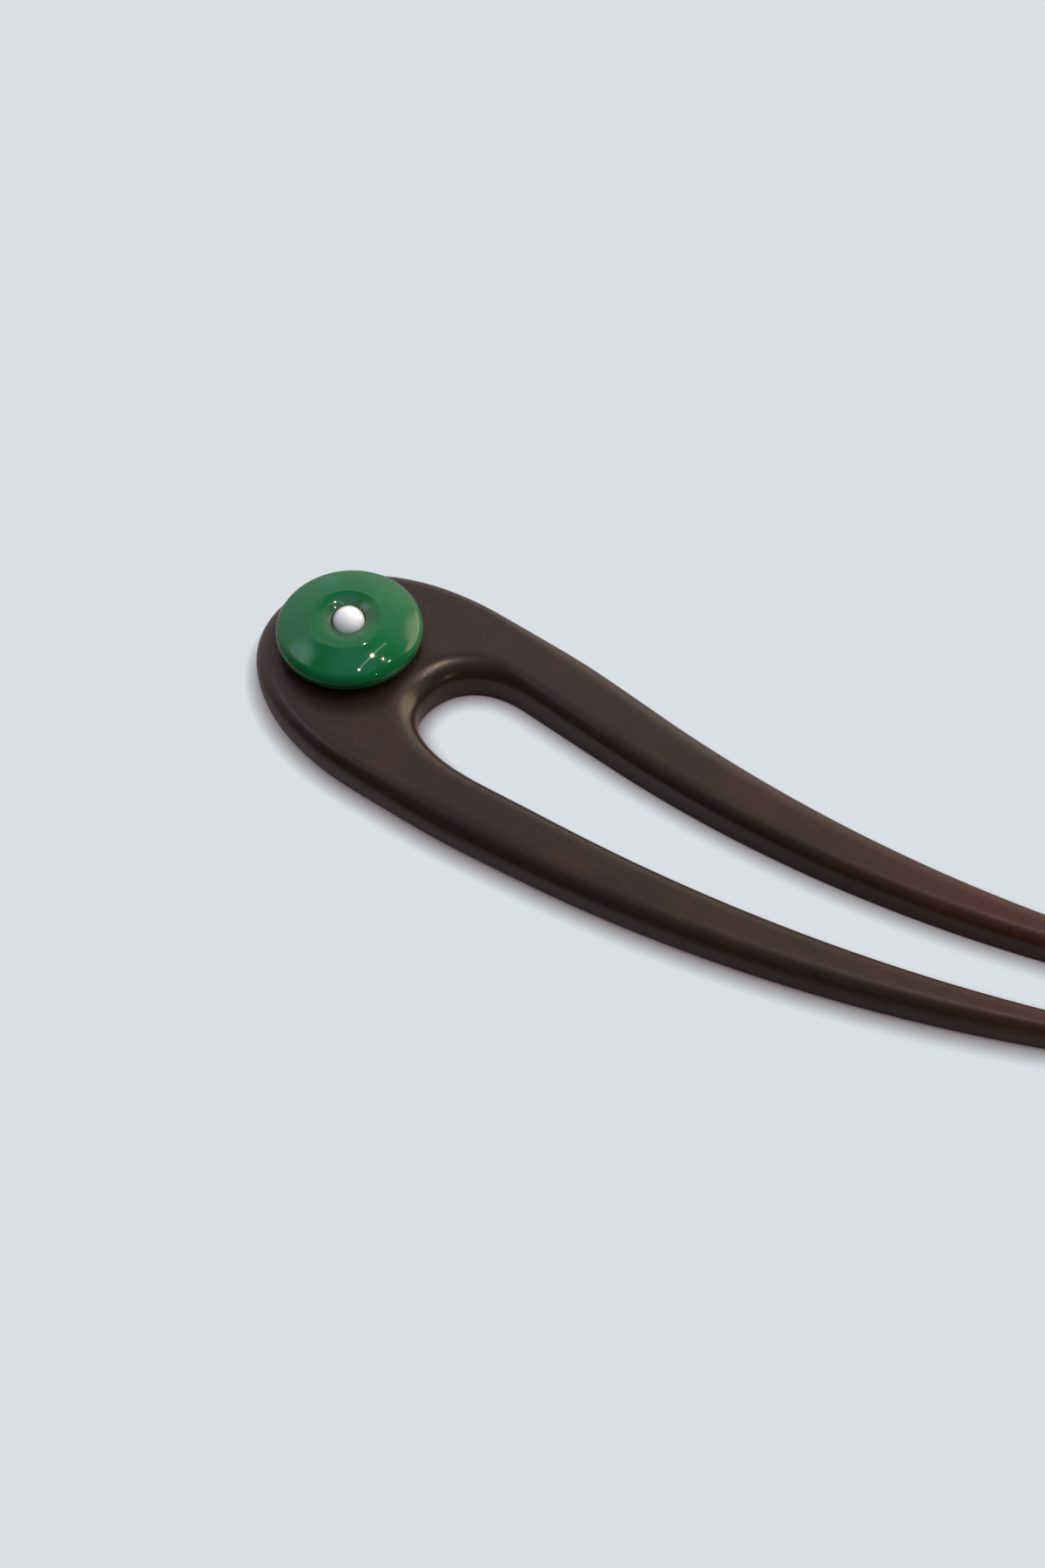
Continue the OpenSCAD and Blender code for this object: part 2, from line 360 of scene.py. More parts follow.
def fork_section(s, x_outer, x_slot, wide, thick):
    """Cross-sections as distances in from the outer edge and heights, one row a station.

    A section goes up the outer side, over the top and down the slot's side, and back along the
    underside. Each of its four roundings is a quarter of an ellipse. A rounding takes at most the
    share most_w of the width, and a bottom one is foot_slant times as wide as it is high. The
    head's bottom rounding passes into the prongs' over head_reach, and the lip's rounding is gone
    at lip_reach times the length of the slot's end.
    """
    most_w = 0.45
    foot_slant = 0.8
    head_reach = 0.065
    lip_reach = 1.6
    headness = 1 - ease(x_outer / head_reach)
    lipness = ease(lip_reach - (x_slot - s.slot_at) / s.slot_end_l)
    outer_foot_h = thick * blend(s.prong_foot_share, s.head_foot_share, headness)
    slot_foot_h = thick * s.slot_foot_share
    outer_foot_w = np.minimum(foot_slant * outer_foot_h, most_w * wide)
    slot_foot_w = np.minimum(foot_slant * slot_foot_h, most_w * wide)
    outer_top_w = soft_min(s.edge_w, most_w * wide)
    outer_top_h = thick * s.edge_share
    slot_top_w = soft_min(blend(s.slot_edge_w, s.lip_w, lipness), most_w * wide)
    slot_top_h = thick * blend(s.slot_edge_share, s.lip_share, lipness)
    wide = wide[:, None]
    thick = thick[:, None]
    foot_in, foot_up = quarter(outer_foot_w, outer_foot_h, EDGE_STEPS)
    top_in, top_down = quarter(outer_top_w, outer_top_h, EDGE_STEPS)
    lip_in, lip_down = quarter(slot_top_w, slot_top_h, EDGE_STEPS)
    slot_in, slot_up = quarter(slot_foot_w, slot_foot_h, EDGE_STEPS)
    wall = np.arange(1, WALL_STEPS) / WALL_STEPS
    over = np.arange(1, TOP_STEPS) / TOP_STEPS
    under = np.arange(1, UNDER_STEPS) / UNDER_STEPS
    outer_wall = blend(foot_up[:, -1:], thick - top_down[:, -1:], wall)
    slot_wall = blend(thick - lip_down[:, -1:], slot_up[:, -1:], wall)
    distances = (
        foot_in,
        0 * outer_wall,
        top_in[:, ::-1],
        blend(top_in[:, :1], wide - lip_in[:, :1], over),
        wide - lip_in,
        wide + 0 * slot_wall,
        wide - slot_in[:, ::-1],
        blend(wide - slot_in[:, :1], foot_in[:, :1], under),
    )
    heights = (
        foot_up,
        outer_wall,
        thick - top_down[:, ::-1],
        thick * np.ones(len(over)),
        thick - lip_down,
        slot_wall,
        slot_up[:, ::-1],
        thick * np.zeros(len(under)),
    )
    return np.concatenate(distances, axis=1), np.concatenate(heights, axis=1)


def fork_surface(s):
    """Rows of points over the whole fork and its two tip poles, with the middle over the origin."""
    x_outer, x_slot, left, side = fork_stations(s)
    outer = sweep(s, outer_edge(s, x_outer, side))
    inner = sweep(s, slot_edge(s, x_slot, side))
    across = inner - outer
    wide = np.linalg.norm(across, axis=1)
    thin = np.maximum(0, x_slot - s.slot_at) / (s.fork_l - s.slot_at)
    thick = blend(s.head_t, s.tip_t, thin)
    distances, heights = fork_section(s, x_outer, x_slot, wide, thick)
    middle = (wide / 2)[:, None]
    half_t = (thick / 2)[:, None]
    drawn_in = middle + (distances - middle) * left[:, None]
    z = half_t + (heights - half_t) * left[:, None]
    flat = outer[:, None, :] + (across / wide[:, None])[:, None, :] * drawn_in[:, :, None]
    rows = np.concatenate((flat, z[:, :, None]), axis=2)
    tip_side = np.array((1.0, -1.0))
    tip_x = np.full(2, s.fork_l)
    tips = sweep(s, (outer_edge(s, tip_x, tip_side) + slot_edge(s, tip_x, tip_side)) / 2)
    poles = np.concatenate((tips, np.full((2, 1), s.tip_t / 2)), axis=1)
    low, high = rows.reshape(-1, 3).min(axis=0), rows.reshape(-1, 3).max(axis=0)
    box_low, box_high = (np.array(corner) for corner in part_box("fork"))
    shift = (box_low + box_high - low - high) / 2
    shift[2] = box_low[2] - low[2]
    # The sections run the other way round here, so that the faces look outward
    return rows[:, ::-1] + shift, poles + shift


# Disc and pearl, as surfaces of revolution


def revolve(radii, heights, turn_steps):
    """A profile of radii and heights carried round the Z axis, as rows x columns x 3."""
    turn = np.linspace(0, 2 * math.pi, turn_steps, endpoint=False)
    x = np.outer(radii, np.cos(turn))
    y = np.outer(radii, np.sin(turn))
    return np.stack((x, y, np.repeat(heights[:, None], turn_steps, axis=1)), axis=-1)


def seat_levels(disc, pearl):
    """Heights over the disc's foot of the pearl's widest level and of its flat foot."""
    pearl_z = disc.disc_t - pearl.pearl_low
    return pearl_z, pearl_z - pearl.pearl_sink


def disc_surface(disc, pearl):
    """Rows of points over the disc, with its foot on the origin, and its two poles.

    Both faces are arcs of radius face_r that run into the rim's arc. Ground into the dome are a
    shallow cone around a middle of its own, and on the disc's middle a hollow of the depth
    H (1 - (r / e)^2)^2, for the distance r and the hollow's radius e. A fine raised line lies on
    the cone's edge, as the bell curve exp(-(d / w)^2) of the distance to it. The rows slide over
    to the cone's middle and back, and lie closer together up to fine_reach off its edge.
    """
    bead_w = 0.00014
    edge = 0.00006
    fine_reach = 0.0003
    wide_from = 0.0004
    top_centre = disc.disc_t - math.sqrt(disc.face_r**2 - (disc.ring_d / 2) ** 2)
    rim_x = disc.disc_d / 2 - disc.rim_r
    rim_z = top_centre + math.sqrt((disc.face_r - disc.rim_r) ** 2 - rim_x**2)
    under_centre = 2 * rim_z - top_centre
    face_edge_x = rim_x * disc.face_r / (disc.face_r - disc.rim_r)
    foot_x = math.sqrt(disc.face_r**2 - under_centre**2)
    cone_x = disc.cone_d / 2
    hollow_x = disc.hollow_d / 2
    seat_x = pearl.pearl_d / 2 + pearl.seat_play
    seat_z = seat_levels(disc, pearl)[1] - pearl.glue

    foot_radii = np.array((0.3, 0.7, 0.97, 0.995)) * foot_x
    under_radii = np.linspace(foot_x * 1.003, face_edge_x, DISC_UNDER_ROWS)
    under_z = under_centre - np.sqrt(disc.face_r**2 - under_radii**2)
    reach = math.asin(rim_x / (disc.face_r - disc.rim_r))
    turn = np.linspace(reach - math.pi / 2, math.pi / 2 - reach, DISC_RIM_ROWS)[1:-1]
    low_rows = revolve(
        np.concatenate((foot_radii, under_radii, rim_x + disc.rim_r * np.cos(turn))),
        np.concatenate((0 * foot_radii, under_z, rim_z + disc.rim_r * np.sin(turn))),
        DISC_TURN_STEPS,
    )

    top_radii = np.concatenate(
        (
            np.linspace(face_edge_x, cone_x + wide_from, DISC_DOME_ROWS),
            cone_x + np.linspace(fine_reach, -fine_reach, CONE_EDGE_ROWS),
            np.linspace(cone_x - wide_from, seat_x + edge, CONE_ROWS),
        )
    )
    outside = ease((face_edge_x - top_radii) / (face_edge_x - cone_x))
    inside = ease((top_radii - seat_x) / (cone_x - seat_x))
    top_rows = revolve(top_radii, 0 * top_radii, DISC_TURN_STEPS)
    top_rows[..., 1] += (disc.cone_off * outside * inside)[:, None]
    off_axis = np.hypot(top_rows[..., 0], top_rows[..., 1])
    off_cone = np.hypot(top_rows[..., 0], top_rows[..., 1] - disc.cone_off)
    dome = top_centre + np.sqrt(disc.face_r**2 - off_axis**2)
    cone = disc.cone_fall * (cone_x - off_cone)
    cone = (cone + np.sqrt(cone**2 + (disc.cone_fall * disc.crease) ** 2)) / 2
    hollow = disc.hollow_deep * (1 - np.minimum(1, off_axis / hollow_x) ** 2) ** 2
    bead = disc.bead_h * np.exp(-(((off_cone - cone_x) / bead_w) ** 2))
    top_rows[..., 2] = dome - cone - hollow + bead

    seat_rows = revolve(
        np.array((seat_x, seat_x, seat_x, seat_x - edge, seat_x / 2)),
        np.full(5, seat_z),
        DISC_TURN_STEPS,
    )
    brink = top_rows[-1, :, 2]
    seat_rows[:3, :, 2] = (brink - edge, (brink + seat_z) / 2, np.full(len(brink), seat_z + edge))
    poles = np.array(((0, 0, 0), (0, 0, seat_z)))
    return np.concatenate((low_rows, top_rows, seat_rows)), poles


def over_disc_seat(points):
    """Points around the origin, moved on to the place of the CAD disc."""
    low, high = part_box("disc")
    return points + np.array(((low.x + high.x) / 2, (low.y + high.y) / 2, low.z))


def pearl_surface(disc, pearl):
    """A slightly uneven ball with a flat foot, as rows x columns x 3, and its two poles.

    The radius falls short of the ball's by up to the unevenness: a sum of four slow waves over
    the turn and the height, which grown nacre has. They set in over fade_turn radians off the
    foot.
    """
    fade_turn = 0.5
    radius = pearl.pearl_d / 2
    centre_z, foot_z = seat_levels(disc, pearl)
    foot_turn = math.acos(pearl.pearl_sink / radius)
    foot_x = radius * math.sin(foot_turn)
    down = np.linspace(math.pi - foot_turn, 0, PEARL_ROWS)[:-1]
    turn = np.linspace(0, 2 * math.pi, PEARL_TURN_STEPS, endpoint=False)
    tilt, around = np.meshgrid(down, turn, indexing="ij")
    rise = np.sin(tilt)
    wave = 0.5 * rise * np.cos(around - 0.8) + 0.3 * rise**2 * np.cos(2 * around + 0.6)
    wave = wave + 0.2 * np.cos(2 * tilt + 0.5) + 0.15 * rise**3 * np.cos(3 * around)
    ease_in = ease((down[0] - tilt) / fade_turn)
    short = 1 - pearl.uneven * ease_in * (0.5 - 0.5 * np.clip(wave, -1, 1))
    ball = np.stack((rise * np.cos(around), rise * np.sin(around), np.cos(tilt)), axis=-1)
    ball = ball * (radius * short)[:, :, None] + np.array((0, 0, centre_z))
    foot = revolve(np.array((0.5, 0.96)) * foot_x, np.full(2, foot_z), PEARL_TURN_STEPS)
    top = np.array((0, 0, ball[-1, :, 2].max()))
    poles = np.stack((np.array((0, 0, foot_z)), top))
    return np.concatenate((foot, ball)), poles


# Materials


def add_node(tree, kind, settings=None, inputs=None):
    """Adds a node, sets its named settings, and fills or links its inputs by name or number."""
    node = tree.nodes.new(kind)
    for name, value in (settings or {}).items():
        setattr(node, name, value)
    for name, value in (inputs or {}).items():
        if isinstance(value, bpy.types.NodeSocket):
            tree.links.new(value, node.inputs[name])
        else:
            node.inputs[name].default_value = value
    return node


def new_material(name):
    """An empty node material and its node tree."""
    material = bpy.data.materials.new(name)
    material.use_nodes = True
    material.node_tree.nodes.clear()
    return material, material.node_tree


def per_metre(*millimetres):
    """Pattern scales, in repeats a metre, for features of the given sizes in millimetres."""
    return tuple(1000 / size for size in millimetres)


def oiled_blackwood(finish):
    """African blackwood, carved, sanded fine along the grain and rubbed with oil.

    To the eye it is nearly black and warm, with a satin gloss that is broken up by short dark
    pores and fine sanding lines along the grain, faint darker streaks and redder patches. The lip
    at the slot's end is shinier and smoother, and the prongs are duller towards their tips.
    """
    material, tree = new_material("oiled_blackwood")
    where = add_node(tree, "ShaderNodeTexCoord").outputs["Object"]

    # Heartwood streaks, 16 mm long and 1.1 mm wide; pores, 0.9 mm long, whose real width of 0.08 mm
    # is drawn as 0.14 mm so that it shows; and sanding lines, 6 mm long and 0.2 mm apart
    patterns = []
    for sizes, detail, roughness in (
        ((16, 1.1, 1.1), 4, 0.65),
        ((0.9, 0.14, 0.14), 1, 0.5),
        ((6, 0.2, 0.2), 3, 0.7),
    ):
        place = add_node(
            tree, "ShaderNodeMapping", None, {"Vector": where, "Scale": per_metre(*sizes)}
        )
        pattern = add_node(
            tree,
            "ShaderNodeTexNoise",
            None,
            {"Vector": place.outputs[0], "Scale": 1, "Detail": detail, "Roughness": roughness},
        )
        patterns.append(pattern.outputs["Fac"])
    streaks, pores, sanding = patterns
    open_pore = add_node(
        tree,
        "ShaderNodeMapRange",
        {"interpolation_type": "SMOOTHSTEP"},
        {"Value": pores, "From Min": 0.58, "From Max": 0.72},
    )
    # Hand-rubbed patches of oil, 9 mm across with detail down to 0.6 mm
    patches = add_node(
        tree,
        "ShaderNodeTexNoise",
        None,
        {"Vector": where, "Scale": per_metre(9)[0], "Detail": 4, "Roughness": 0.6},
    )

    streak_share = add_node(
        tree,
        "ShaderNodeMapRange",
        {"interpolation_type": "SMOOTHSTEP"},
        {"Value": streaks, "From Min": 0.34, "From Max": 0.72},
    )
    body = add_node(
        tree,
        "ShaderNodeMix",
        {"data_type": "RGBA"},
        {0: streak_share.outputs[0], 6: finish.wood, 7: finish.streak},
    )
    # Redder towards the tip of the +Y prong, and in patches
    along = add_node(
        tree, "ShaderNodeVectorMath", {"operation": "DOT_PRODUCT"}, {0: where, 1: (1, 2, 0)}
    )
    prong_warmth = add_node(
        tree,
        "ShaderNodeMapRange",
        {"interpolation_type": "SMOOTHSTEP"},
        {"Value": along.outputs["Value"], "From Min": 0, "From Max": 0.07, "To Max": 0.65},
    )
    patch_warmth = add_node(
        tree,
        "ShaderNodeMapRange",
        {"interpolation_type": "SMOOTHSTEP"},
        {"Value": patches.outputs["Fac"], "From Min": 0.45, "From Max": 0.75, "To Max": 0.35},
    )
    warm_share = add_node(
        tree, "ShaderNodeMath", None, {0: prong_warmth.outputs[0], 1: patch_warmth.outputs[0]}
    )
    warm = add_node(
        tree,
        "ShaderNodeMix",
        {"data_type": "RGBA"},
        {0: warm_share.outputs[0], 6: body.outputs[2], 7: finish.flame},
    )
    pored = add_node(
        tree,
        "ShaderNodeMix",
        {"data_type": "RGBA"},
        {0: open_pore.outputs[0], 6: warm.outputs[2], 7: finish.pore},
    )

    rubbed = add_node(
        tree,
        "ShaderNodeMapRange",
        None,
        {
            "Value": patches.outputs["Fac"],
            "From Min": 0.3,
            "From Max": 0.7,
            "To Min": 0.23,
            "To Max": 0.27,
        },
    )
    lined = add_node(
        tree,
        "ShaderNodeMath",
        {"operation": "MULTIPLY_ADD"},
        {0: sanding, 1: 0.07, 2: rubbed.outputs[0]},
    )
    pore_rough = add_node(
        tree,
        "ShaderNodeMath",
        {"operation": "MULTIPLY_ADD"},
        {0: open_pore.outputs[0], 1: 0.08, 2: lined.outputs[0]},
    )
    # The lip at the slot's end is rubbed shinier by hair, up to 14 mm off its edge
    slot_end = (-0.0434, -0.0045, 0.0058)
    off_slot_end = add_node(
        tree, "ShaderNodeVectorMath", {"operation": "DISTANCE"}, {0: where, 1: slot_end}
    )
    worn = add_node(
        tree,
        "ShaderNodeMapRange",
        {"interpolation_type": "SMOOTHSTEP"},
        {
            "Value": off_slot_end.outputs["Value"],
            "From Min": 0.006,
            "From Max": 0.014,
            "To Min": -0.03,
            "To Max": 0,
        },
    )
    # The same rubbing has worn the grain flat there
    grain_depth = add_node(
        tree,
        "ShaderNodeMapRange",
        {"interpolation_type": "SMOOTHSTEP"},
        {
            "Value": off_slot_end.outputs["Value"],
            "From Min": 0.008,
            "From Max": 0.018,
            "To Min": 0.04,
            "To Max": 0.22,
        },
    )
    # The prongs are drier and duller, from 30 to 70 mm off that edge
    dryness = add_node(
        tree,
        "ShaderNodeMapRange",
        {"interpolation_type": "SMOOTHSTEP"},
        {"Value": off_slot_end.outputs["Value"], "From Min": 0.03, "From Max": 0.07},
    )
    dull = add_node(
        tree,
        "ShaderNodeMath",
        {"operation": "MULTIPLY_ADD"},
        {0: dryness.outputs[0], 1: 0.1, 2: worn.outputs[0]},
    )
    gloss_level = add_node(
        tree,
        "ShaderNodeMath",
        {"operation": "MULTIPLY_ADD"},
        {0: dryness.outputs[0], 1: -0.16, 2: 0.5},
    )
    rough = add_node(
        tree, "ShaderNodeMath", None, {0: dull.outputs[0], 1: pore_rough.outputs[0]}
    )

    lines_bump = add_node(
        tree,
        "ShaderNodeBump",
        None,
        {"Strength": grain_depth.outputs[0], "Distance": 0.00002, "Height": sanding},
    )
    pore_bump = add_node(
        tree,
        "ShaderNodeBump",
        {"invert": True},
        {
            "Strength": grain_depth.outputs[0],
            "Distance": 0.00003,
            "Height": open_pore.outputs[0],
            "Normal": lines_bump.outputs[0],
        },
    )
    shader = add_node(
        tree,
        "ShaderNodeBsdfPrincipled",
        None,
        {
            "Base Color": pored.outputs[2],
            "Roughness": rough.outputs[0],
            "IOR": 1.55,
            "Specular IOR Level": gloss_level.outputs[0],
            "Specular Tint": linear("#FFF0E6"),
            "Normal": pore_bump.outputs[0],
        },
    )
    add_node(tree, "ShaderNodeOutputMaterial", None, {"Surface": shader.outputs[0]})
    return material


def polished_chalcedony(finish):
    """Green chalcedony, ground to shape and polished to glass.

    To the eye it is a deep green with a mirror gloss, a little light under its surface, faint
    paler clouds, a greyer ring around the pearl and a very slight unevenness of the polish.
    """
    material, tree = new_material("polished_chalcedony")
    where = add_node(tree, "ShaderNodeTexCoord").outputs["Object"]
    # Clouds about 5 mm across, and grains of 0.5 mm in them
    clouds = add_node(
        tree,
        "ShaderNodeTexNoise",
        None,
        {"Vector": where, "Scale": per_metre(5)[0], "Detail": 4, "Roughness": 0.62},
    )
    cloud_share = add_node(
        tree,
        "ShaderNodeMapRange",
        {"interpolation_type": "SMOOTHSTEP"},
        {"Value": clouds.outputs["Fac"], "From Min": 0.42, "From Max": 0.78, "To Max": 0.4},
    )
    body = add_node(
        tree,
        "ShaderNodeMix",
        {"data_type": "RGBA"},
        {0: cloud_share.outputs[0], 6: finish.stone, 7: finish.cloud},
    )
    # Greyer stone around the pearl, fading out from 2.2 to 4.4 mm off the middle of the disc
    low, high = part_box("disc")
    middle = ((low.x + high.x) / 2, (low.y + high.y) / 2, high.z)
    off_middle = add_node(
        tree, "ShaderNodeVectorMath", {"operation": "DISTANCE"}, {0: where, 1: middle}
    )
    haze_share = add_node(
        tree,
        "ShaderNodeMapRange",
        {"interpolation_type": "SMOOTHSTEP"},
        {
            "Value": off_middle.outputs["Value"],
            "From Min": 0.0022,
            "From Max": 0.0044,
            "To Min": 0.6,
            "To Max": 0,
        },
    )
    hazy = add_node(
        tree,
        "ShaderNodeMix",
        {"data_type": "RGBA"},
        {0: haze_share.outputs[0], 6: body.outputs[2], 7: finish.haze},
    )
    # Waves of the hand polish, 2.5 mm across
    waves = add_node(
        tree,
        "ShaderNodeTexNoise",
        None,
        {"Vector": where, "Scale": per_metre(2.5)[0], "Detail": 1, "Roughness": 0.4},
    )
    wave_bump = add_node(
        tree,
        "ShaderNodeBump",
        None,
        {"Strength": 0.15, "Distance": 0.00001, "Height": waves.outputs["Fac"]},
    )
    shader = add_node(
        tree,
        "ShaderNodeBsdfPrincipled",
        None,
        {
            "Base Color": hazy.outputs[2],
            "Roughness": 0.05,
            "IOR": 1.54,
            "Subsurface Weight": 0.25,
            "Subsurface Radius": (0.3, 1.0, 0.5),
            "Subsurface Scale": 0.001,
            "Normal": wave_bump.outputs[0],
        },
    )
    add_node(tree, "ShaderNodeOutputMaterial", None, {"Surface": shader.outputs[0]})
    return material


def pearl_nacre(finish):
    """Freshwater pearl nacre, as grown and lightly tumbled.

    To the eye it is a cool white with a soft deep lustre, and slow lilac casts.
    """
    material, tree = new_material("pearl_nacre")
    where = add_node(tree, "ShaderNodeTexCoord").outputs["Object"]
    # Casts of colour, 2.2 mm across
    casts = add_node(
        tree,
        "ShaderNodeTexNoise",
        None,
        {"Vector": where, "Scale": per_metre(2.2)[0], "Detail": 2, "Roughness": 0.5},
    )
    cast_share = add_node(
        tree,
        "ShaderNodeMapRange",
        {"interpolation_type": "SMOOTHSTEP"},
        {"Value": casts.outputs["Fac"], "From Min": 0.35, "From Max": 0.65, "To Max": 0.8},
    )
    body = add_node(
        tree,
        "ShaderNodeMix",
        {"data_type": "RGBA"},
        {0: cast_share.outputs[0], 6: finish.pearl, 7: finish.blush},
    )
    # Painted rim shade: a darker colour is mixed into the nacre where the pearl is seen edge-on, by
    # the Layer Weight's facing
    facing = add_node(tree, "ShaderNodeLayerWeight", None, {"Blend": 0.5})
    painted_rim_share = add_node(
        tree,
        "ShaderNodeMapRange",
        {"interpolation_type": "SMOOTHSTEP"},
        {"Value": facing.outputs["Facing"], "From Min": 0.35, "From Max": 0.9, "To Max": 0.8},
    )
    layered = add_node(
        tree,
        "ShaderNodeMix",
        {"data_type": "RGBA"},
        {0: painted_rim_share.outputs[0], 6: body.outputs[2], 7: finish.painted_rim_shade},
    )
    shader = add_node(
        tree,
        "ShaderNodeBsdfPrincipled",
        None,
        {
            "Base Color": layered.outputs[2],
            "Roughness": 0.25,
            "IOR": 1.53,
            "Subsurface Weight": 0.2,
            "Subsurface Radius": (1.0, 0.8, 0.8),
            "Subsurface Scale": 0.0008,
            "Coat Weight": 0.6,
            "Coat Roughness": 0.07,
            "Coat IOR": 1.6,
            "Sheen Weight": 0.15,
            "Sheen Roughness": 0.4,
        },
    )
    add_node(tree, "ShaderNodeOutputMaterial", None, {"Surface": shader.outputs[0]})
    return material


def matt_paper(finish):
    """Coated backdrop paper, rolled out flat: pale, even and without gloss.

    The camera sees the paper's colour with a painted contact shadow: it is darkened towards lilac
    where something stands within 2.7 mm, by a power of the share of the sky that is open there.
    Other rays meet plain lit paper of a darker grey, so that the sides of the object aren't flooded
    with light from below, and its near side, towards -Y, is painted darker still, as under a black
    card.
    """
    material, tree = new_material("matt_paper")
    material.cycles.emission_sampling = "NONE"
    open_sky = add_node(
        tree, "ShaderNodeAmbientOcclusion", {"samples": 24}, {"Distance": 0.0027}
    )
    light_left = add_node(
        tree, "ShaderNodeMath", {"operation": "POWER"}, {0: open_sky.outputs["AO"], 1: 1.7}
    )
    shaded = add_node(
        tree,
        "ShaderNodeMix",
        {"data_type": "RGBA"},
        {0: light_left.outputs[0], 6: linear("#482830"), 7: finish.floor},
    )
    seen_paper = add_node(tree, "ShaderNodeEmission", None, {"Color": shaded.outputs[2]})
    where = add_node(tree, "ShaderNodeTexCoord").outputs["Object"]
    across = add_node(tree, "ShaderNodeSeparateXYZ", None, {"Vector": where})
    far_share = add_node(
        tree,
        "ShaderNodeMapRange",
        {"interpolation_type": "SMOOTHSTEP"},
        {"Value": across.outputs["Y"], "From Min": -0.05, "From Max": -0.022},
    )
    grey = add_node(
        tree,
        "ShaderNodeMix",
        {"data_type": "RGBA"},
        {0: far_share.outputs[0], 6: linear("#484648"), 7: linear("#ACA6A6")},
    )
    lit_paper = add_node(tree, "ShaderNodeBsdfDiffuse", None, {"Color": grey.outputs[2]})
    seen = add_node(tree, "ShaderNodeLightPath").outputs["Is Camera Ray"]
    both = add_node(
        tree,
        "ShaderNodeMixShader",
        None,
        {0: seen, 1: lit_paper.outputs[0], 2: seen_paper.outputs[0]},
    )
    add_node(tree, "ShaderNodeOutputMaterial", None, {"Surface": both.outputs[0]})
    return material


# Studio


def sky_direction(azimuth, elevation):
    """Unit vector to a place in the sky, from degrees right of FAR and degrees above the floor."""
    turn, rise = math.radians(azimuth), math.radians(elevation)
    flat = FAR * math.cos(turn) + RIGHT * math.sin(turn)
    return flat * math.cos(rise) + Vector((0, 0, math.sin(rise)))


def hang_light(light):
    """A light far off, turned to the origin, that the camera doesn't see.

    Its power in watts is pi x area x brightness, which gives the brightness as its radiance.
    """
    direction = sky_direction(light.azimuth, light.elevation)
    data = bpy.data.lights.new(light.name, "AREA")
    data.shape = "ELLIPSE" if light.is_round else "RECTANGLE"
    data.size = 2 * LIGHT_DISTANCE * math.tan(math.radians(light.width) / 2)
    data.size_y = 2 * LIGHT_DISTANCE * math.tan(math.radians(light.height) / 2)
    area = data.size * data.size_y * (math.pi / 4 if light.is_round else 1)
    data.energy = math.pi * area * light.radiance
    data.color = linear(light.colour)[:3]
    lamp = bpy.data.objects.new(light.name, data)
    lamp.location = direction * LIGHT_DISTANCE
    facing = direction.to_track_quat("Z", "Y")
    turned = Quaternion((0, 0, 1), math.radians(light.turn))
    lamp.rotation_euler = (facing @ turned).to_euler()
    lamp.visible_camera = False
    lamp.visible_glossy = light.is_mirrored
    bpy.context.scene.collection.objects.link(lamp)


def soft_sky(scene):
    """The room's own light: dark behind the camera, pale far off, blue overhead, with soft glows.

    The camera itself sees the floor's colour past the floor's edge.
    """
    world = bpy.data.worlds.new("soft_room")
    scene.world = world
    world.use_nodes = True
    tree = world.node_tree
    tree.nodes.clear()
    way = add_node(tree, "ShaderNodeTexCoord").outputs["Generated"]
    height = add_node(tree, "ShaderNodeSeparateXYZ", None, {"Vector": way}).outputs["Z"]
    farness = add_node(
        tree, "ShaderNodeVectorMath", {"operation": "DOT_PRODUCT"}, {0: way, 1: FAR}
    )
    # A layer's name, the value that it goes by, where it sets in and is full, and its brightness
    layers = [
        ("far_wall", farness.outputs["Value"], -0.25, 0.4, (0.62, 0.58, 0.64)),
        ("upper_wall", height, 0.77, 0.91, (0.16, 0.12, 0.15)),
        ("ceiling", height, 0.93, 0.99, (0.26, 0.26, 0.5)),
    ]
    for glow in GLOWS:
        middle = sky_direction(glow.azimuth, glow.elevation)
        towards = add_node(
            tree, "ShaderNodeVectorMath", {"operation": "DOT_PRODUCT"}, {0: way, 1: middle}
        )
        gone = math.cos(math.radians(glow.gone))
        full = math.cos(math.radians(glow.full))
        layers.append((glow.name, towards.outputs["Value"], gone, full, glow.brightness))
    shade = (0.06, 0.05, 0.05, 1)
    for name, value, start, full, brightness in layers:
        strength = add_node(
            tree,
            "ShaderNodeMapRange",
            {"interpolation_type": "SMOOTHSTEP"},
            {"Value": value, "From Min": start, "From Max": full},
        )
        layered = add_node(
            tree,
            "ShaderNodeMix",
            {"data_type": "RGBA", "label": name},
            {0: strength.outputs[0], 6: shade, 7: (*brightness, 1)},
        )
        shade = layered.outputs[2]
    glowing = add_node(tree, "ShaderNodeBackground", None, {"Color": shade})
    floor_colour = scene.hair_fork.finish.floor
    plain = add_node(tree, "ShaderNodeBackground", None, {"Color": floor_colour})
    seen = add_node(tree, "ShaderNodeLightPath").outputs["Is Camera Ray"]
    both = add_node(
        tree, "ShaderNodeMixShader", None, {0: seen, 1: glowing.outputs[0], 2: plain.outputs[0]}
    )
    add_node(tree, "ShaderNodeOutputWorld", None, {"Surface": both.outputs[0]})


def pale_floor(finish):
    """A square of paper, 4 m wide, on z = 0."""
    reach = 2
    corners = ((-reach, -reach, 0), (reach, -reach, 0), (reach, reach, 0), (-reach, reach, 0))
    mesh = bpy.data.meshes.new("floor")
    mesh.from_pydata(corners, (), ((0, 1, 2, 3),))
    floor = bpy.data.objects.new("floor", mesh)
    bpy.context.scene.collection.objects.link(floor)
    mesh.materials.append(matt_paper(finish))


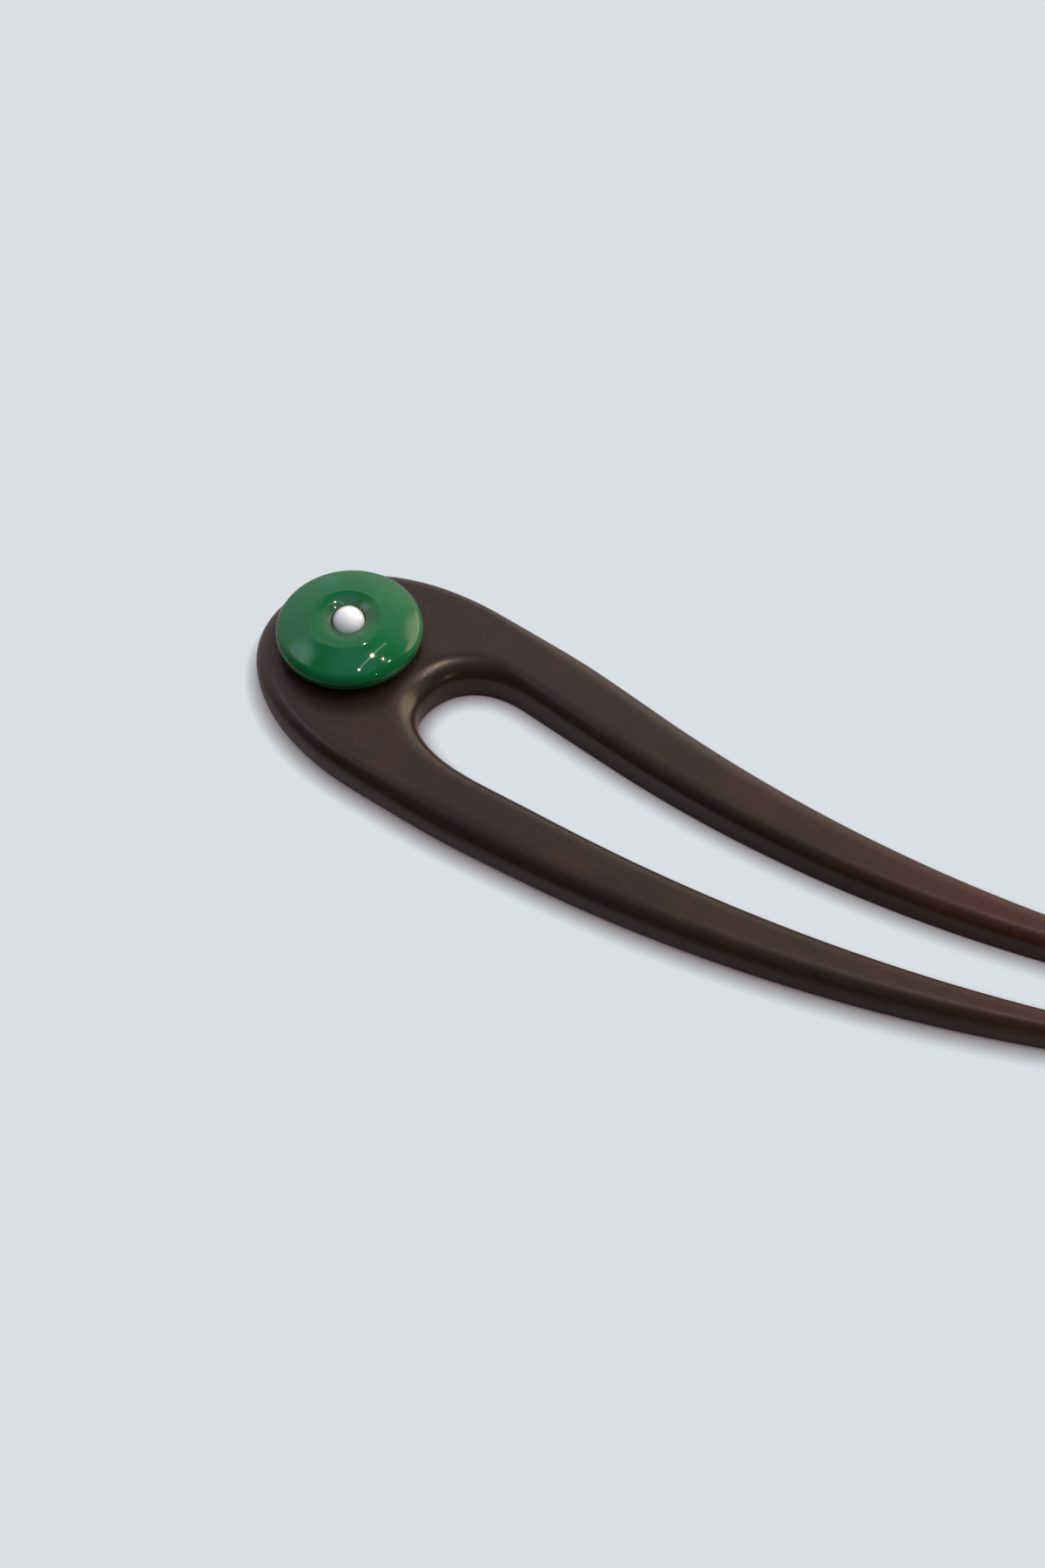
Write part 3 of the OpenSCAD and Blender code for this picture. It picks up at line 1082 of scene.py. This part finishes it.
def place_camera(scene):
    """The camera of the photograph: 55 degrees above the floor and 35 degrees round."""
    look_at = Vector((-0.02623, -0.00565, 0))
    distance = 0.2558
    azimuth, elevation = math.radians(35.456), math.radians(55.04)
    flat = Vector((math.sin(azimuth), -math.cos(azimuth), 0)) * math.cos(elevation)
    back = flat + Vector((0, 0, math.sin(elevation)))
    data = bpy.data.cameras.new("camera")
    data.sensor_width = 36
    data.lens = 44.107
    data.clip_start = 0.01
    camera = bpy.data.objects.new("camera", data)
    camera.location = look_at + back * distance
    camera.rotation_mode = "QUATERNION"
    camera.rotation_quaternion = (-back).to_track_quat("-Z", "Y")
    scene.collection.objects.link(camera)
    scene.camera = camera


class HAIRFORK_OT_fork(bpy.types.Operator):
    """Build the wooden fork"""

    bl_idname = "hairfork.fork"
    bl_label = "Wooden fork"

    def execute(self, context):
        settings = context.scene.hair_fork
        rows, poles = fork_surface(settings.fork)
        piece = skin("carved_fork", rows, poles)
        dress(piece, oiled_blackwood(settings.finish), "fork")
        return {"FINISHED"}


class HAIRFORK_OT_disc(bpy.types.Operator):
    """Build the stone disc"""

    bl_idname = "hairfork.disc"
    bl_label = "Stone disc"

    def execute(self, context):
        settings = context.scene.hair_fork
        rows, poles = disc_surface(settings.disc, settings.pearl)
        piece = skin("stone_disc", over_disc_seat(rows), over_disc_seat(poles))
        dress(piece, polished_chalcedony(settings.finish), "disc")
        return {"FINISHED"}


class HAIRFORK_OT_pearl(bpy.types.Operator):
    """Build the pearl"""

    bl_idname = "hairfork.pearl"
    bl_label = "Pearl"

    def execute(self, context):
        settings = context.scene.hair_fork
        rows, poles = pearl_surface(settings.disc, settings.pearl)
        piece = skin("round_pearl", over_disc_seat(rows), over_disc_seat(poles))
        dress(piece, pearl_nacre(settings.finish), "pearl")
        return {"FINISHED"}


class HAIRFORK_OT_studio(bpy.types.Operator):
    """Build the floor, the lights and the camera"""

    bl_idname = "hairfork.studio"
    bl_label = "Studio"

    def execute(self, context):
        scene = context.scene
        pale_floor(scene.hair_fork.finish)
        soft_sky(scene)
        for light in LIGHTS:
            hang_light(light)
        place_camera(scene)
        scene.view_settings.view_transform = "Standard"
        scene.view_settings.look = "None"
        return {"FINISHED"}


class HAIRFORK_PT_panel(bpy.types.Panel):
    """Buttons and sizes of the hair fork"""

    bl_idname = "HAIRFORK_PT_panel"
    bl_label = "Hair fork"
    bl_space_type = "VIEW_3D"
    bl_region_type = "UI"
    bl_category = "Hair fork"

    def draw(self, context):
        settings = context.scene.hair_fork
        for operator in OPERATORS:
            self.layout.operator(operator.bl_idname)
        for part in (settings.fork, settings.disc, settings.pearl, settings.finish):
            box = self.layout.box()
            for name in part.__annotations__:
                box.prop(part, name)


GROUPS = (ForkSizes, DiscSizes, PearlSizes, Finishes, HairForkSettings)
OPERATORS = (HAIRFORK_OT_fork, HAIRFORK_OT_disc, HAIRFORK_OT_pearl, HAIRFORK_OT_studio)
CLASSES = (*GROUPS, *OPERATORS, HAIRFORK_PT_panel)


def register():
    """Registers the classes and hangs the settings on the scene."""
    for each in CLASSES:
        bpy.utils.register_class(each)
    bpy.types.Scene.hair_fork = PointerProperty(type=HairForkSettings)


def unregister():
    """Takes the settings off the scene and unregisters the classes."""
    del bpy.types.Scene.hair_fork
    for each in reversed(CLASSES):
        bpy.utils.unregister_class(each)


def main():
    register()
    bpy.ops.hairfork.fork()
    bpy.ops.hairfork.disc()
    bpy.ops.hairfork.pearl()
    bpy.ops.hairfork.studio()


if __name__ == "__main__":
    main()
